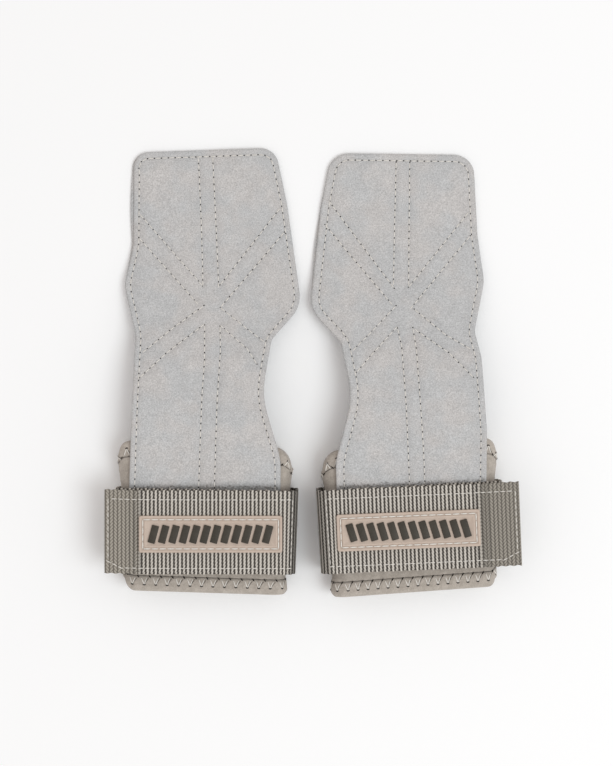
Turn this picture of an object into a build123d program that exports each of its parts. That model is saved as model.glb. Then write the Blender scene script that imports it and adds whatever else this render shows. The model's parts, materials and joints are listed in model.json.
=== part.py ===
from build123d import *
from math import atan, cos, degrees, radians, sin
import os

# A pair of lifting grips, one for each hand, lying flat with their straps closed.
#
# Each grip is a padded wrist cuff closed into a flat loop, a quilted suede palm flap whose root
# is sewn down under the strap, and a webbing strap that goes once round the cuff and closes
# over itself with hook and loop tape.  A grip is built in its own frame: X across the wrist
# with the thumb side positive, Y up the flap from the middle of the strap, Z up from the
# floor.  The left grip is placed as it is built and the right grip is its mirror image.
# Millimetres throughout.

os.makedirs("parts", exist_ok=True)

# ---- driving dimensions ----------------------------------------------------------------
web_width = 50.0
web_thickness = 1.6

cuff_finger_end = 50.5
cuff_arm_end = -38.4
cuff_finger_half = 52.4
cuff_arm_half = 48.2
cuff_finger_slant = -2.8
cuff_arm_slant = -1.8
cuff_low = web_thickness
cuff_high = 19.0
cuff_wall = 5.6
skin = 0.9
hem_width = 8.5
rim_radius = 2.6
rim_solid = 2.2

flap_thickness = 2.4
suede_thickness = 0.9
flap_clearance = 0.3
flap_hinge_y = 28.6
flap_flat_end = 52.0
flap_floor_start = 184.0
flap_length_end = 240.0
flap_half_reach = 70.0
flap_tall = 30.0
core_inset = 2.5
root_start = -14.0

run_gap = 0.1
tape_thickness = 0.9
peel_gap = 0.3
hinge_gap = 0.3
tape_margin = 3.0
strap_hinge_x = 47.6
tail_hinge_x = -41.0
wrap_start = 38.0
wrap_outer_half = 53.8
wrap_thumb_half = 55.0
wrap_bend = 8.0
outer_bend = 5.0
thumb_bend = 7.2
hook_width = 42.0
loop_width = 46.0

label_length = 85.0
label_width = 22.0
label_thickness = 1.5
label_centre = (3.5, -0.7)
label_corner = 1.5
groove_inset = 1.8
groove_width = 1.0
groove_depth = 0.4
rib_count = 12
rib_pitch = 6.2
rib_width = 3.8
rib_length = 10.5
rib_slant = 15.0
rib_height = 0.7

thread_width = 0.8
thread_height = 0.3
edge_stitch_inset = 5.0

# where each grip lies: place of its frame, turn, slack of the strap at its thumb side, how far
# the strap's free end reaches, and how its flap and the flap's back layer lie in that frame
grips = {
    "left": dict(x=-65.03, y=-96.73, turn=0.0, mirrored=False, slack=0.0, tail_end=-59.8,
                 flap_shift=(0.0, 0.0), flap_turn=0.0, back_shift=-1.6),
    "right": dict(x=60.57, y=-94.33, turn=2.3, mirrored=True, slack=2.2, tail_end=-63.3,
                  flap_shift=(0.5, -2.5), flap_turn=0.45, back_shift=1.6),
}

# heights that follow
cuff_middle = (cuff_low + cuff_high) / 2
root_high = cuff_high + flap_thickness
inner_run_low = root_high + run_gap
inner_run_high = inner_run_low + web_thickness
loop_high = inner_run_high + tape_thickness
hook_low = loop_high + peel_gap
strap_low = hook_low + tape_thickness
strap_high = strap_low + web_thickness
label_high = strap_high + label_thickness
flap_low = cuff_high + flap_clearance
flap_high = flap_low + flap_thickness

# palm flap outline of each hand: its root, then its corners from the outer side round to the
# thumb side, with the radius that rounds each corner
flap_roots = {
    "left": [(-46.9, root_start), (45.2, root_start)],
    "right": [(-43.0, root_start), (45.2, root_start)],
}
thumb_side = [
    ((49.0, 199.0), 90.0),
    ((57.9, 136.5), 19.0),
    ((39.7, 115.6), 8.0),
    ((34.1, 81.8), 50.0),
    ((45.4, 43.4), 40.0),
]
flap_corners = {
    "left": [
        ((-42.8, 118.0), 14.0),
        ((-50.6, 149.0), 22.0),
        ((-45.4, 178.0), 40.0),
        ((-44.9, 230.7), 8.5),
        ((41.7, 233.6), 11.0),
        *thumb_side,
    ],
    "right": [
        ((-46.2, 58.0), 60.0),
        ((-44.9, 104.0), 25.0),
        ((-41.7, 119.5), 8.0),
        ((-49.4, 150.0), 26.0),
        ((-46.4, 178.0), 40.0),
        ((-45.4, 227.9), 12.5),
        ((41.7, 231.9), 13.5),
        *thumb_side,
    ],
}

# quilting of each hand: each run comes down or out of the middle and turns away along the flap
quilting = {
    "left": [
        [(-6.4, 229.0), (-3.0, 148.0), (-42.0, 193.6)],
        [(2.5, 229.0), (6.6, 148.0), (45.5, 198.4)],
        [(-42.6, 179.0), (-3.3, 135.2), (-19.8, 123.2), (-40.0, 106.4)],
        [(47.9, 182.7), (7.5, 135.0), (26.4, 120.8), (35.5, 113.2)],
        [(-40.6, 91.6), (-23.2, 108.0), (-2.2, 124.4), (-1.3, 103.0), (-2.5, 82.0), (-5.2, 0.0)],
        [(32.6, 99.0), (25.3, 109.2), (7.5, 124.4), (7.8, 103.0), (6.5, 82.0), (3.4, 0.0)],
    ],
    "right": [
        [(-6.4, 226.0), (-3.0, 148.0), (-42.0, 193.6)],
        [(2.5, 226.0), (6.6, 148.0), (45.5, 198.4)],
        [(-42.6, 179.0), (-3.8, 135.9), (-24.2, 117.8), (-39.4, 108.2)],
        [(47.9, 182.7), (6.5, 136.0), (21.8, 120.5), (33.1, 110.5)],
        [(-38.0, 93.2), (-25.5, 107.4), (-5.0, 121.4), (-6.2, 109.2), (-8.3, 48.0), (-8.4, 0.0)],
        [(28.6, 99.5), (22.4, 105.9), (4.4, 123.6), (2.7, 112.6), (0.7, 49.0), (0.7, 0.0)],
    ],
}


# ---- cuff --------------------------------------------------------------------------------
def cuff_plane(y):
    """Plane across the cuff at height y, slanted as the cuff's ends are."""
    share = (y - cuff_arm_end) / (cuff_finger_end - cuff_arm_end)
    slant = radians(cuff_arm_slant + share * (cuff_finger_slant - cuff_arm_slant))
    return Plane(origin=(0, y, cuff_middle), x_dir=(cos(slant), sin(slant), 0),
                 z_dir=(-sin(slant), cos(slant), 0))


def cuff_slot(y, inset):
    """Flat oval of the cuff at height y, drawn in by inset."""
    share = (y - cuff_arm_end) / (cuff_finger_end - cuff_arm_end)
    half = cuff_arm_half + share * (cuff_finger_half - cuff_arm_half)
    SlotOverall(2 * (half - inset), cuff_high - cuff_low - 2 * inset)


def cuff_ring(start, end, outside, inside):
    """Part of the cuff's wall between two heights, from inset outside to inset inside."""
    with BuildPart() as ring:
        for inset, mode in ((outside, Mode.ADD), (inside, Mode.SUBTRACT)):
            for y in (start, end):
                with BuildSketch(cuff_plane(y)):
                    cuff_slot(y, inset)
            loft(ruled=True, mode=mode)
    return ring.part


def cuff_foam():
    return cuff_ring(cuff_arm_end + rim_solid, cuff_finger_end - rim_solid, skin, cuff_wall - skin)


def cuff_cover():
    return cuff_ring(cuff_arm_end + hem_width, cuff_finger_end - hem_width, 0, skin)


def cuff_lining():
    return cuff_ring(cuff_arm_end + hem_width, cuff_finger_end - hem_width,
                     cuff_wall - skin, cuff_wall)


def cuff_hem(start, end, rim_is_last):
    """Binding folded round one end of the cuff: a rounded rim with the foam inside it."""
    foam_start, foam_end = (start, end - rim_solid) if rim_is_last else (start + rim_solid, end)
    with BuildPart() as hem:
        add(cuff_ring(start, end, 0, cuff_wall))
        rim = hem.faces().sort_by(Axis.Y)[-1 if rim_is_last else 0]
        fillet(rim.edges(), rim_radius)
        add(cuff_ring(foam_start, foam_end, skin, cuff_wall - skin), mode=Mode.SUBTRACT)
    return hem.part


def finger_hem():
    return cuff_hem(cuff_finger_end - hem_width, cuff_finger_end, True)


def arm_hem():
    return cuff_hem(cuff_arm_end, cuff_arm_end + hem_width, False)


# ---- palm flap ---------------------------------------------------------------------------
def flap_face_sketch(grip, inset=0.0, shift=0.0):
    """Plan outline of the flap as it lies in the grip's frame."""
    side = "right" if grip["mirrored"] else "left"
    root_outer, root_thumb = flap_roots[side]
    points = [root_outer] + [corner for corner, _ in flap_corners[side]] + [root_thumb]
    radii = [radius for _, radius in flap_corners[side]]
    place = Location((grip["flap_shift"][0] + shift, grip["flap_shift"][1], 0),
                     (0, 0, grip["flap_turn"]))
    with BuildSketch() as outline:
        with BuildLine():
            FilletPolyline(*points, radius=radii)
            Line(root_thumb, root_outer)
        make_face()
        if inset:
            offset(amount=-inset)
    return place * outline.sketch


def flap_strip(low, high, start=flap_hinge_y):
    """The flap's thickness from low to high, swept across its whole width.

    It lies flat on the cuff, comes down to the floor in two equal bends, and lies flat again.
    """
    run = flap_floor_start - flap_flat_end
    turn = 2 * degrees(atan(flap_low / run))
    bend = (run / 2) / sin(radians(turn))
    ends = []
    with BuildPart() as strip:
        with BuildSketch(Plane.YZ):
            with BuildLine():
                for height in (low, high):
                    flat = Line((start, flap_low + height), (flap_flat_end, flap_low + height))
                    down = JernArc(flat @ 1, (1, 0), bend + height, -turn)
                    out = JernArc(down @ 1, down % 1, bend - height, turn)
                    tip = Line(out @ 1, (flap_length_end, height))
                    ends.append((flat @ 0, tip @ 1))
                Line(ends[0][0], ends[1][0])
                Line(ends[0][1], ends[1][1])
            make_face()
        extrude(amount=flap_half_reach, both=True)
    return strip.part


def flap_layer(grip, low, high, inset=0.0, shift=0.0):
    """One layer of the flap, from height low to high above its underside."""
    with BuildPart() as layer:
        add(flap_face_sketch(grip, inset, shift))
        extrude(amount=flap_tall)
        add(flap_strip(low, high), mode=Mode.INTERSECT)
    return layer.part


def flap_thread(grip):
    """Lock stitching on the flap's face: once round inside the edge, and the quilting runs."""
    place = Location((*grip["flap_shift"], 0), (0, 0, grip["flap_turn"]))
    with BuildSketch() as runs:
        for run in quilting["right" if grip["mirrored"] else "left"]:
            with BuildLine() as line:
                Polyline(*run)
            trace(line.line, thread_width)
    with BuildPart() as thread:
        with BuildSketch():
            add(flap_face_sketch(grip, edge_stitch_inset))
            add(flap_face_sketch(grip, edge_stitch_inset + thread_width), mode=Mode.SUBTRACT)
            add(place * runs.sketch)
        extrude(amount=flap_tall)
        add(flap_strip(flap_thickness, flap_thickness + thread_height), mode=Mode.INTERSECT)
    return thread.part


def flap_root(grip):
    """The end of the flap that is sewn down on the cuff, under the strap."""
    root_end = flap_hinge_y - flap_clearance
    with BuildPart() as root:
        with BuildSketch(Plane.XY.offset(cuff_high)):
            add(flap_face_sketch(grip))
            with Locations((0, root_start)):
                Rectangle(4 * flap_half_reach, 2 * (root_end - root_start), mode=Mode.INTERSECT)
        extrude(amount=flap_thickness)
    return root.part


# ---- strap -------------------------------------------------------------------------------
def strap_wrap(slack):
    """The strap's fixed turn: over the flap's root, round the outer side, under the cuff,
    and up the thumb side as far as the fold that the front run opens about."""
    thumb_half = wrap_thumb_half + slack
    middle = web_thickness / 2
    route = [(wrap_start, inner_run_low + middle), (-wrap_outer_half, inner_run_low + middle),
             (-wrap_outer_half, middle), (thumb_half, middle),
             (thumb_half, strap_low + middle), (strap_hinge_x, strap_low + middle)]
    with BuildPart() as wrap:
        with BuildSketch(Plane.XZ):
            with BuildLine() as line:
                FilletPolyline(*route, radius=[outer_bend, wrap_bend, wrap_bend, thumb_bend])
            trace(line.line, web_thickness)
        extrude(amount=web_width / 2, both=True)
    return wrap.part


def flat_strip(x_low, x_high, width, low, high):
    """A flat length of webbing or tape across the grip."""
    with BuildPart() as strip:
        with BuildSketch(Plane.XY.offset(low)):
            with Locations(((x_low + x_high) / 2, 0)):
                Rectangle(x_high - x_low, width)
        extrude(amount=high - low)
    return strip.part


def loop_tape():
    return flat_strip(tail_hinge_x, wrap_start - 2, loop_width, inner_run_high, loop_high)


def strap_front():
    return flat_strip(tail_hinge_x + hinge_gap, strap_hinge_x - hinge_gap, web_width,
                      strap_low, strap_high)


def hook_tape():
    return flat_strip(tail_hinge_x + 1, wrap_start - 2, hook_width, hook_low, strap_low)


def strap_tail(tail_end):
    """The free end that is gripped to peel the strap open."""
    return flat_strip(tail_end, tail_hinge_x, web_width, strap_low, strap_high)


def tail_hook_tape(tail_end):
    """Hook tape under the free end, short of its edge."""
    return flat_strip(tail_end + tape_margin, tail_hinge_x - 1, hook_width, hook_low, strap_low)


def label_plate():
    """Moulded label with a sunk channel for its stitching."""
    with BuildPart() as plate:
        with BuildSketch(Plane.XY.offset(strap_high)):
            with Locations(label_centre):
                RectangleRounded(label_length, label_width, label_corner)
        extrude(amount=label_thickness)
        with BuildSketch(Plane.XY.offset(label_high)):
            with Locations(label_centre):
                for inset, mode in ((groove_inset, Mode.ADD),
                                    (groove_inset + groove_width, Mode.SUBTRACT)):
                    RectangleRounded(label_length - 2 * inset, label_width - 2 * inset,
                                     label_corner / 2, mode=mode)
        extrude(amount=-groove_depth, mode=Mode.SUBTRACT)
    return plate.part


def label_ribs():
    """Row of raised slanting ribs on the label."""
    with BuildPart() as ribs:
        with BuildSketch(Plane.XY.offset(label_high)):
            with Locations(label_centre):
                with GridLocations(rib_pitch, 0, rib_count, 1):
                    Rectangle(rib_width, rib_length, rotation=-rib_slant)
        extrude(amount=rib_height)
    return ribs.part


# ---- the two grips -----------------------------------------------------------------------
def place_and_save(solid, grip, name):
    """Put a piece made in the grip's frame where its grip lies, and write it."""
    if grip["mirrored"]:
        solid = mirror(solid, about=Plane.YZ)
    placed = Location((grip["x"], grip["y"], 0), (0, 0, grip["turn"])) * solid
    placed.label = name
    export_step(placed, f"parts/{name}.step")


for side, grip in grips.items():
    pieces = {
        "cuff_foam": cuff_foam(),
        "cuff_cover": cuff_cover(),
        "cuff_lining": cuff_lining(),
        "cuff_finger_hem": finger_hem(),
        "cuff_arm_hem": arm_hem(),
        "flap_root": flap_root(grip),
        "flap_back": flap_layer(grip, 0, suede_thickness, shift=grip["back_shift"]),
        "flap_core": flap_layer(grip, suede_thickness, flap_thickness - suede_thickness,
                                inset=core_inset),
        "flap_face": flap_layer(grip, flap_thickness - suede_thickness, flap_thickness),
        "flap_thread": flap_thread(grip),
        "strap_wrap": strap_wrap(grip["slack"]),
        "loop_tape": loop_tape(),
        "strap_front": strap_front(),
        "hook_tape": hook_tape(),
        "label_plate": label_plate(),
        "label_ribs": label_ribs(),
        "strap_tail": strap_tail(grip["tail_end"]),
        "tail_hook_tape": tail_hook_tape(grip["tail_end"]),
    }
    for name, solid in pieces.items():
        place_and_save(solid, grip, f"{side}_{name}")
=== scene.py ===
import json
import math

import bmesh
import bpy
import numpy as np
from mathutils import Matrix, Vector


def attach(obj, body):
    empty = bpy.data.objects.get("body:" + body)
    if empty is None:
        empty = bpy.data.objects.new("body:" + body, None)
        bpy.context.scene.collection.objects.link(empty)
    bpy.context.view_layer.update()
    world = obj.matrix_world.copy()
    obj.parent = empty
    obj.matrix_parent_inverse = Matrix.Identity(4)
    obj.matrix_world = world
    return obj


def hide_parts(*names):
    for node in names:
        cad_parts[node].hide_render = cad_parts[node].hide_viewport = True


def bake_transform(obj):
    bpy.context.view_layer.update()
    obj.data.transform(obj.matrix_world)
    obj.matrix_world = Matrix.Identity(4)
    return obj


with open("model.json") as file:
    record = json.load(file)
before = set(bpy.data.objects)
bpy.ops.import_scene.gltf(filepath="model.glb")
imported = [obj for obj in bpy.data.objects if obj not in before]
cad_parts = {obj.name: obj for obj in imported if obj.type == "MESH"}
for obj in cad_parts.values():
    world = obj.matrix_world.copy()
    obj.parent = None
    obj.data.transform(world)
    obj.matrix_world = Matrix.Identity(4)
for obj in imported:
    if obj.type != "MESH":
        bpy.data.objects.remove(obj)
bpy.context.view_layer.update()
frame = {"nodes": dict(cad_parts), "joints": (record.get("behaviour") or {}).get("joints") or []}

# A pair of lifting grips: padded wrist cuffs, quilted suede palm flaps, and webbing straps
# that wrap the cuff and close over themselves.  Each grip is shaped in its own frame, in
# millimetres: X across the wrist with the thumb side positive, Y up the flap from the middle
# of the strap, Z up from the floor.  The frame's joints say where that frame lies.
MM = 0.001

# ---- sizes of both grips, in millimetres -------------------------------------------------
CUFF_LOW, CUFF_HIGH, CUFF_WALL, SKIN = 1.6, 19.0, 5.6, 0.9
CUFF_MIDDLE = (CUFF_LOW + CUFF_HIGH) / 2
CUFF_RADIUS = (CUFF_HIGH - CUFF_LOW) / 2
CUFF_FLAT, CUFF_GIRTH = 79.0, 214
CUFF_ARM_SLANT, CUFF_FINGER_SLANT = math.radians(-1.8), math.radians(-2.8)
HEM = 9.2

FLAP_THICK, SUEDE = 2.4, 0.9
FLAP_LOW = 19.3
FLAP_MIDDLE_X = -2.0
FLAP_HINGE_Y = 28.6
FLAP_ROOT_Y = -12.0
FLAP_FLAT_END, FLAP_FLOOR_START = 52.0, 184.0
STITCH_PITCH = 4.25

WEB_WIDTH, WEB_THICK = 50.0, 1.6
INNER_RUN_LOW, STRAP_LOW = 21.5, 25.2
STRAP_HIGH = STRAP_LOW + WEB_THICK
STRAP_HINGE_X, TAIL_HINGE_X = 47.6, -41.0
STRAP_SPLIT_X = 4.0
INNER_RUN_START_X, STRAP_OUTER_X, STRAP_THUMB_X, STRAP_BEND = 38.0, -53.8, 55.0, 7.2
FRONT_RUN_LEAD = 22.0                  # how far before the hinge the strap's front run starts
LOOP_LOW, LOOP_HIGH = 23.1, 24.0
HOOK_LOW = 24.3
HOOK_WIDTH, LOOP_WIDTH = 42.0, 46.0

RIB_PITCH, PICK_PITCH = 2.41, 2.1      # webbing: warp ribs across, weft picks along them
FLOAT_RELIEF = 0.34

LABEL_CENTRE, LABEL_LENGTH, LABEL_WIDTH, LABEL_THICK = (3.7, -1.0), 85.6, 22.0, 1.5
LABEL_RIBS = 12

THUMB_SIDE = [(49.0, 199.0, 90.0), (57.9, 136.5, 19.0), (39.7, 115.6, 8.0),
              (34.1, 81.8, 50.0), (45.4, 43.4, 40.0), (45.2, FLAP_ROOT_Y)]

# ---- what differs between the hands ------------------------------------------------------
# flap: outline, its corners (x, y, rounding) from the outer side of the root to the thumb
# side; quilting, its runs of stitches; lay, its shift along X and Y and its turn in degrees;
# back, how far the back layer peeps out, round which place along the flap, and over what
# length; inset, the edge stitching's distance in from the outer side, far edge and thumb side
# cuff: its ends towards the arm and the fingers, half its width at each, its shift along X, the
# rounding of its corners on the outer and the thumb side, and the pitch of its hem stitches
# strap: slack, how far it stands off the cuff; tail_end, where it ends; tail_lift, wrap_lift,
# how far the free end and the fixed turn lie up the flap; tail_tone, fold_tone, how much painted
# shade darkens them; fold_lean, the fold's shift and slant; box, its stitching (low, high, thumb,
# end)
HANDS = {
    "left": dict(
        outline=[(-46.9, FLAP_ROOT_Y), (-42.8, 118.0, 14.0), (-50.6, 149.0, 22.0),
                 (-45.2, 174.0, 30.0), (-44.9, 230.7, 9.5), (41.7, 233.6, 11.0)] + THUMB_SIDE,
        quilting=[
            [(-5.4, 228.2), (-3.5, 185.0), (-2.4, 148.4), (-41.5, 193.0)],
            [(3.4, 228.4), (7.2, 148.2), (44.9, 196.8)],
            [(-42.0, 178.5), (-3.3, 135.2), (-19.8, 123.2), (-38.8, 107.3)],
            [(47.4, 181.9), (8.3, 135.3), (26.4, 121.0), (35.6, 114.0)],
            [(-39.8, 92.4), (-23.2, 108.0), (-1.0, 125.2), (-0.7, 103.0), (-2.0, 82.0),
             (-5.2, FLAP_ROOT_Y)],
            [(31.0, 100.6), (25.3, 109.6), (8.3, 124.6), (8.8, 108.0), (7.2, 80.0),
             (4.4, FLAP_ROOT_Y)]],
        lay=(0.0, 0.0, 0.0), back=(-1.9, 198.0, 28.0), inset=(3.3, 4.0, 3.3),
        arm_end=-37.4, finger_end=52.2, arm_half=48.2, finger_half=52.4, cuff_shift=-0.6,
        corners={"arm": (6.5, 0.5), "finger": (8.0, 11.0)}, hem_pitch=6.8,
        slack=0.0, tail_end=-59.8, tail_lift=0.7, tail_tone=1.0, fold_lean=(-0.6, 0.037),
        fold_tone=0.6, box=(-21.6, 19.4, 52.7, -57.7), wrap_lift=1.0),
    "right": dict(
        outline=[(-43.0, FLAP_ROOT_Y), (-46.2, 58.0, 60.0), (-44.9, 104.0, 25.0),
                 (-41.7, 119.5, 8.0), (-49.4, 150.0, 26.0), (-46.4, 178.0, 40.0),
                 (-45.4, 227.9, 12.5), (41.7, 231.9, 13.5)] + THUMB_SIDE,
        quilting=[
            [(-6.4, 224.8), (-3.0, 148.0), (-41.6, 193.1)],
            [(2.0, 225.2), (6.3, 148.2), (44.5, 203.3)],
            [(-42.0, 178.5), (-4.3, 135.5), (-24.2, 117.8), (-38.9, 108.5)],
            [(47.0, 188.3), (6.2, 135.8), (21.8, 120.3), (33.2, 109.6)],
            [(-39.4, 91.6), (-25.3, 107.0), (-4.4, 122.6), (-5.8, 109.5), (-7.7, 48.0),
             (-8.2, FLAP_ROOT_Y)],
            [(31.0, 96.8), (22.4, 106.2), (5.2, 123.8), (3.0, 112.0), (1.8, 75.0),
             (1.0, FLAP_ROOT_Y)]],
        lay=(0.5, -2.5, 0.45), back=(1.2, 176.0, 20.0), inset=(3.6, 4.1, 4.8),
        arm_end=-39.4, finger_end=49.8, arm_half=48.8, finger_half=52.8, cuff_shift=0.8,
        corners={"arm": (3.6, 0.5), "finger": (8.0, 11.0)}, hem_pitch=6.0,
        slack=2.2, tail_end=-63.3, tail_lift=0.4, tail_tone=0.86, fold_lean=(-0.5, 0.02),
        fold_tone=0.35, box=(-20.9, 19.6, 52.5, -60.9), wrap_lift=0.9),
}


# ---- where each grip lies ----------------------------------------------------------------
def joint(name):
    return next(j for j in frame["joints"] if j["name"] == name)


class Grip:
    """One hand's grip: its name, its own measures and the matrix from its frame to the row's."""

    def __init__(self, side):
        self.side = side
        self.mirrored = side == "right"
        self.__dict__.update(HANDS[side])
        fold = joint(f"{side}_flap_fold")
        along = Vector((-fold["axis"][1], fold["axis"][0], 0))
        across = Vector(fold["axis"]) * (-1 if self.mirrored else 1)
        self.matrix = Matrix((across, along, (0, 0, 1))).transposed().to_4x4() * MM
        self.matrix.translation = Vector(fold["pos_m"]) - along * FLAP_HINGE_Y * MM
        self.matrix.translation.z = 0
        self.matrix[3][3] = 1
        self.edge = rounded(self.outline)
        self.stitch_edge = inset_line(self.edge, *self.inset)

    def point(self, x, y, z):
        return self.matrix @ Vector((x, y, z))

    def name(self, part):
        return f"{self.side}_{part}"


# ---- outlines ----------------------------------------------------------------------------
def rounded(points, step=0.8):
    """Points along a line through corners (x, y, radius), each corner rounded by an arc."""
    corners = [np.array(p[:2], float) for p in points]
    line = [corners[0]]
    for i in range(1, len(points) - 1):
        radius = points[i][2]
        back, ahead = corners[i - 1] - corners[i], corners[i + 1] - corners[i]
        back, ahead = back / np.linalg.norm(back), ahead / np.linalg.norm(ahead)
        half_angle = math.acos(np.clip(back @ ahead, -1, 1)) / 2
        start = corners[i] + back * radius / math.tan(half_angle)
        end = corners[i] + ahead * radius / math.tan(half_angle)
        middle = (back + ahead) / np.linalg.norm(back + ahead)
        centre = corners[i] + middle * radius / math.sin(half_angle)
        first = math.atan2(*(start - centre)[::-1])
        turn = (math.atan2(*(end - centre)[::-1]) - first + math.pi) % (2 * math.pi) - math.pi
        count = max(3, int(abs(turn) * radius / step))
        for a in first + turn * np.arange(count + 1) / count:
            line.append(centre + radius * np.array((math.cos(a), math.sin(a))))
    line.append(corners[-1])
    return np.array(line)


def reach_along(line):
    return np.concatenate(([0], np.cumsum(np.linalg.norm(np.diff(line, axis=0), axis=1))))


def along_line(line, step):
    """Evenly spaced places along a polyline, with its direction at each, and their spacing."""
    line = np.asarray(line, float)
    reach = reach_along(line)
    count = max(1, round(reach[-1] / step))
    at = (np.arange(count) + 0.5) * reach[-1] / count
    places = np.stack([np.interp(at, reach, line[:, k]) for k in range(line.shape[1])], 1)
    part = np.clip(np.searchsorted(reach, at, "right") - 1, 0, len(line) - 2)
    ways = np.diff(line, axis=0)[part]
    return places, ways / np.linalg.norm(ways, axis=1)[:, None], reach[-1] / count


def distance_to(points, line):
    """Distance of each point from a polyline."""
    points, line = np.asarray(points, float), np.asarray(line, float)
    best = np.full(len(points), np.inf)
    for a, b in zip(line[:-1], line[1:]):
        d = b - a
        t = np.clip(((points - a) @ d) / max(d @ d, 1e-12), 0, 1)
        away = points - a - t[:, None] * d
        best = np.minimum(best, away[:, 0] ** 2 + away[:, 1] ** 2)
    return np.sqrt(best)


def inset_line(line, outer, far, thumb):
    """The outline moved inwards, to its right hand, by an inset for each side and the far edge."""
    dense = along_line(line, 0.8)[0]
    run = np.gradient(dense, axis=0)
    run /= np.linalg.norm(run, axis=1)[:, None]
    side = np.where(dense[:, 0] < 0, outer, thumb)
    inset = side + (far - side) * np.clip(run[:, 0], 0, 1) ** 2
    moved = dense + np.stack((run[:, 1], -run[:, 0]), 1) * inset[:, None]
    moved = moved[distance_to(moved, line) > inset - 0.1]
    ends = np.pad(moved, ((4, 4), (0, 0)), "edge")
    return sum(ends[k:k + len(moved)] for k in range(9)) / 9


GRIPS = [Grip("left"), Grip("right")]


# ---- the flap's lie and surface ----------------------------------------------------------
def lay_flap(grip, x, y):
    """Move places on the flap's plan to where the flap lies in the grip's frame."""
    shift_x, shift_y, turn = grip.lay
    c, s = math.cos(math.radians(turn)), math.sin(math.radians(turn))
    return c * x - s * y + shift_x, s * x + c * y + shift_y


def flap_rest(y):
    """Height of the flap's underside: flat on the cuff, two equal bends down, flat on the floor."""
    run = FLAP_FLOOR_START - FLAP_FLAT_END
    bend = run / 2 / math.sin(2 * math.atan(FLAP_LOW / run))
    first = FLAP_LOW - bend + np.sqrt(np.maximum(bend ** 2 - (y - FLAP_FLAT_END) ** 2, 0))
    second = bend - np.sqrt(np.maximum(bend ** 2 - (FLAP_FLOOR_START - y) ** 2, 0))
    low = np.where(y < (FLAP_FLAT_END + FLAP_FLOOR_START) / 2, first, second)
    return np.where(y < FLAP_FLAT_END, FLAP_LOW, np.where(y > FLAP_FLOOR_START, 0, low))


def quilt_pull(grip, x, y):
    """How far the stitching pulls the suede down: a narrow groove in a wide soft valley."""
    points = np.stack((x, y), 1)
    near = distance_to(points, grip.stitch_edge)
    for run in grip.quilting:
        near = np.minimum(near, distance_to(points, run))
    return 0.26 * np.exp(-(near / 0.8) ** 2) + 0.2 * np.exp(-(near / 3.2) ** 2)


def sway(x, y):
    """Slow unevenness of soft suede, which fades out where the flap is held."""
    free = np.clip((y - 60) / 60, 0, 1)
    return free * (0.22 * np.sin(x / 13 + 0.6) * np.sin(y / 19 + 1.1)
                   + 0.12 * np.sin(x / 9 - y / 31 + 0.4))


def face_height(grip, x, y):
    """Height of the flap's top surface at places on its plan."""
    edge = distance_to(np.stack((x, y), 1), grip.edge)
    return (flap_rest(lay_flap(grip, x, y)[1]) + FLAP_THICK + 0.2 + sway(x, y)
            - quilt_pull(grip, x, y) - 0.4 * np.exp(-(edge / 0.7) ** 2))


# ---- mesh helpers ------------------------------------------------------------------------
def finish_piece(grip, bm, name, material, smooth=True):
    """Place a mesh made in the grip's frame, and make it an object at the origin."""
    bm.transform(grip.matrix)
    if grip.mirrored:
        bmesh.ops.reverse_faces(bm, faces=bm.faces)
    for face in bm.faces:
        face.smooth = smooth
    mesh = bpy.data.meshes.new(grip.name(name))
    bm.to_mesh(mesh)
    bm.free()
    made = bpy.data.objects.new(grip.name(name), mesh)
    bpy.context.scene.collection.objects.link(made)
    mesh.materials.append(material)
    return made


def grid(columns, rows):
    """A unit grid, and its vertices' shares across and along it."""
    bm = bmesh.new()
    bmesh.ops.create_grid(bm, x_segments=columns, y_segments=rows, size=0.5)
    shares = np.array([(v.co.x + 0.5, v.co.y + 0.5) for v in bm.verts])
    return bm, shares[:, 0], shares[:, 1]


def place_verts(bm, x, y, z):
    for vert, place in zip(bm.verts, zip(x, y, z)):
        vert.co = place


def paint(bm, **values):
    """Store values at the vertices, for a material to read."""
    for name, numbers in values.items():
        layer = bm.verts.layers.float.new(name)
        for vert, number in zip(bm.verts, numbers):
            vert[layer] = float(number)


def thicken(bm, inward):
    """Give an open sheet its thickness: inward holds each vertex's way to the other face."""
    layer = bm.verts.layers.float_vector.new("inward")
    for vert, way in zip(bm.verts, inward):
        vert[layer] = Vector(way)
    made = bmesh.ops.extrude_face_region(bm, geom=bm.faces[:], use_keep_orig=True)
    for item in made["geom"]:
        if isinstance(item, bmesh.types.BMVert):
            item.co += item[layer]
    bmesh.ops.recalc_face_normals(bm, faces=bm.faces[:])


def beads(places, length, width, height, sides=6):
    """Small rounded beads at (place, direction, up), as stitches, holes, hooks and fibres."""
    bm = bmesh.new()
    bmesh.ops.create_uvsphere(bm, u_segments=sides, v_segments=4, radius=1.0)
    which, count = bm.verts.layers.int.new("bead"), 1
    while count < len(places):
        made = bmesh.ops.duplicate(bm, geom=bm.verts[:] + bm.edges[:] + bm.faces[:])
        for item in made["geom"]:
            if isinstance(item, bmesh.types.BMVert):
                item[which] += count
        count *= 2
    bmesh.ops.delete(bm, geom=[v for v in bm.verts if v[which] >= len(places)], context="VERTS")
    at, ahead, up = (np.array([place[k] for place in places], float) for k in range(3))
    ahead /= np.linalg.norm(ahead, axis=1)[:, None]
    side = np.cross(up, ahead)
    side /= np.linalg.norm(side, axis=1)[:, None]
    rise = np.cross(ahead, side)
    bead = np.array([v[which] for v in bm.verts])
    ball = np.array([v.co for v in bm.verts]) / 2
    moved = (at[bead] + ball[:, :1] * width * side[bead] + ball[:, 1:2] * height * rise[bead]
             + ball[:, 2:] * length * ahead[bead])
    for vert, place in zip(bm.verts, moved):
        vert.co = place
    return bm


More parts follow.
